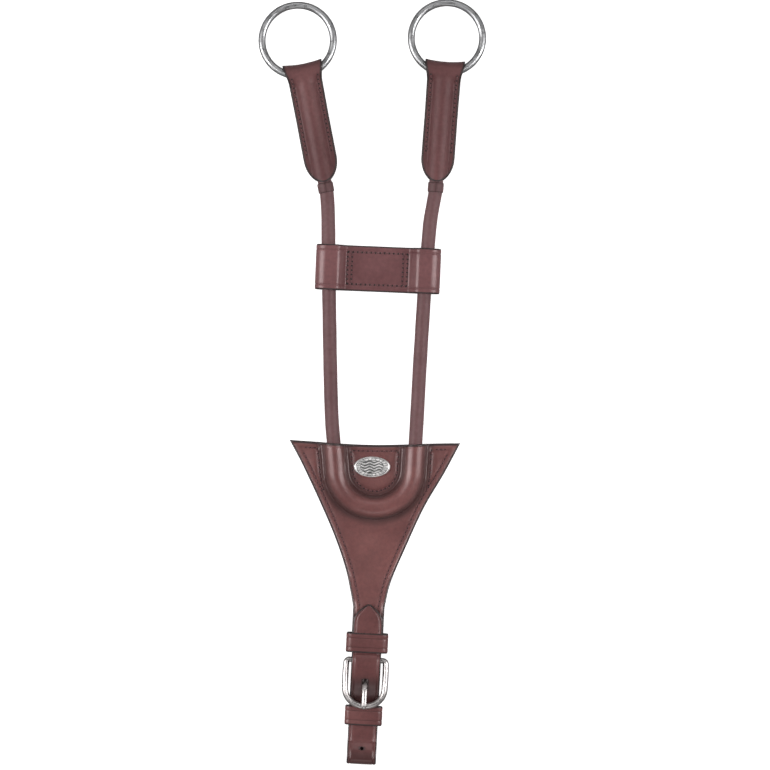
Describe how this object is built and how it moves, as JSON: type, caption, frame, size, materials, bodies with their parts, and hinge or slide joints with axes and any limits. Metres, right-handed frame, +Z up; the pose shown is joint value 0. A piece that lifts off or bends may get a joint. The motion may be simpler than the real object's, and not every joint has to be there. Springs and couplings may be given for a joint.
{
  "type": "martingale",
  "caption": "Running martingale attachment: leather bib with a rolled cord fork, sewn loop tabs with rein rings, sliding band and buckled strap end.",
  "frame": {"origin": "centre of the bounding box, on the surface the piece lies on", "axes": "+Y along the piece towards the rein rings, +X across it, +Z up off the surface, out of the leather's face"},
  "size_m": [0.1596, 0.5366, 0.0161],
  "materials": {
    "bib_leather": "semi-gloss dyed bridle leather with painted edges",
    "lining_leather": "smooth lining leather",
    "cord_run_leather": "semi-gloss dyed bridle leather with painted edges",
    "cord_run_core": "twisted cord filler",
    "badge_metal": "bright plated metal",
    "chape_leather": "semi-gloss dyed bridle leather with painted edges",
    "billet_leather": "semi-gloss dyed bridle leather with painted edges",
    "keeper_upper_leather": "semi-gloss dyed bridle leather with painted edges",
    "keeper_lower_leather": "semi-gloss dyed bridle leather with painted edges",
    "buckle_frame_steel": "bright polished stainless steel",
    "buckle_tongue_steel": "bright polished stainless steel",
    "cord_left_leather": "semi-gloss dyed bridle leather with painted edges",
    "cord_left_core": "twisted cord filler",
    "cord_right_leather": "semi-gloss dyed bridle leather with painted edges",
    "cord_right_core": "twisted cord filler",
    "sleeve_left_leather": "semi-gloss dyed bridle leather with painted edges",
    "sleeve_right_leather": "semi-gloss dyed bridle leather with painted edges",
    "tab_left_leather": "semi-gloss dyed bridle leather with painted edges",
    "tab_right_leather": "semi-gloss dyed bridle leather with painted edges",
    "ring_left_steel": "bright polished stainless steel",
    "ring_right_steel": "bright polished stainless steel",
    "slide_band_leather": "semi-gloss dyed bridle leather with painted edges",
    "slide_core_leather": "semi-gloss dyed bridle leather with painted edges"
  },
  "bodies": {
    "bib": {"bib_front": "bib_leather", "bib_lining": "lining_leather", "cord_run_cover": "cord_run_leather", "cord_run_core": "cord_run_core", "badge_plate": "badge_metal", "chape": "chape_leather", "billet": "billet_leather", "keeper_upper": "keeper_upper_leather"},
    "fork_left": {"cord_left_cover": "cord_left_leather", "cord_left_core": "cord_left_core", "sleeve_left": "sleeve_left_leather", "tab_left": "tab_left_leather"},
    "fork_right": {"cord_right_cover": "cord_right_leather", "cord_right_core": "cord_right_core", "sleeve_right": "sleeve_right_leather", "tab_right": "tab_right_leather"},
    "rein_ring_left": {"ring_left": "ring_left_steel"},
    "rein_ring_right": {"ring_right": "ring_right_steel"},
    "slide": {"slide_band": "slide_band_leather", "slide_core": "slide_core_leather"},
    "frame_buckle": {"buckle_frame": "buckle_frame_steel"},
    "tongue_buckle": {"buckle_tongue": "buckle_tongue_steel"},
    "keeper_free": {"keeper_lower": "keeper_lower_leather"}
  },
  "joints": [
    {"name": "fork_left_slide", "type": "slide", "parent": "bib", "child": "fork_left", "axis": [0.0872, -0.9962, 0], "range_m": [-0.007, 0.007]},
    {"name": "fork_right_slide", "type": "slide", "parent": "bib", "child": "fork_right", "axis": [-0.061, -0.9981, 0], "range_m": [-0.007, 0.007]},
    {"name": "ring_left_swing", "type": "hinge", "parent": "fork_left", "child": "rein_ring_left", "pos_m": [-0.04795, 0.21626, 0.0074], "axis": [0.9823, 0.1874, 0], "range_deg": [-90, 100]},
    {"name": "ring_right_swing", "type": "hinge", "parent": "fork_right", "child": "rein_ring_right", "pos_m": [0.05056, 0.21766, 0.0074], "axis": [0.9972, -0.075, 0], "range_deg": [-90, 100]},
    {"name": "band_slide", "type": "slide", "parent": "bib", "child": "slide", "axis": [0.0419, 0.9991, 0], "range_m": [-0.045, 0.01]},
    {"name": "buckle_swing", "type": "hinge", "parent": "bib", "child": "frame_buckle", "pos_m": [-0.00425, -0.195, 0.00735], "axis": [-0.9988, 0.0497, 0], "range_deg": [0, 3]},
    {"name": "tongue_swing", "type": "hinge", "parent": "frame_buckle", "child": "tongue_buckle", "pos_m": [-0.00425, -0.195, 0.00735], "axis": [-0.9988, 0.0497, 0], "range_deg": [0, 2]},
    {"name": "keeper_slide", "type": "slide", "parent": "bib", "child": "keeper_free", "axis": [-0.0497, -0.9988, 0], "range_m": [0, 0.008]}
  ],
  "couplings": [
    {"joint": "fork_right_slide", "follows": "fork_left_slide", "ratio": -1}
  ]
}
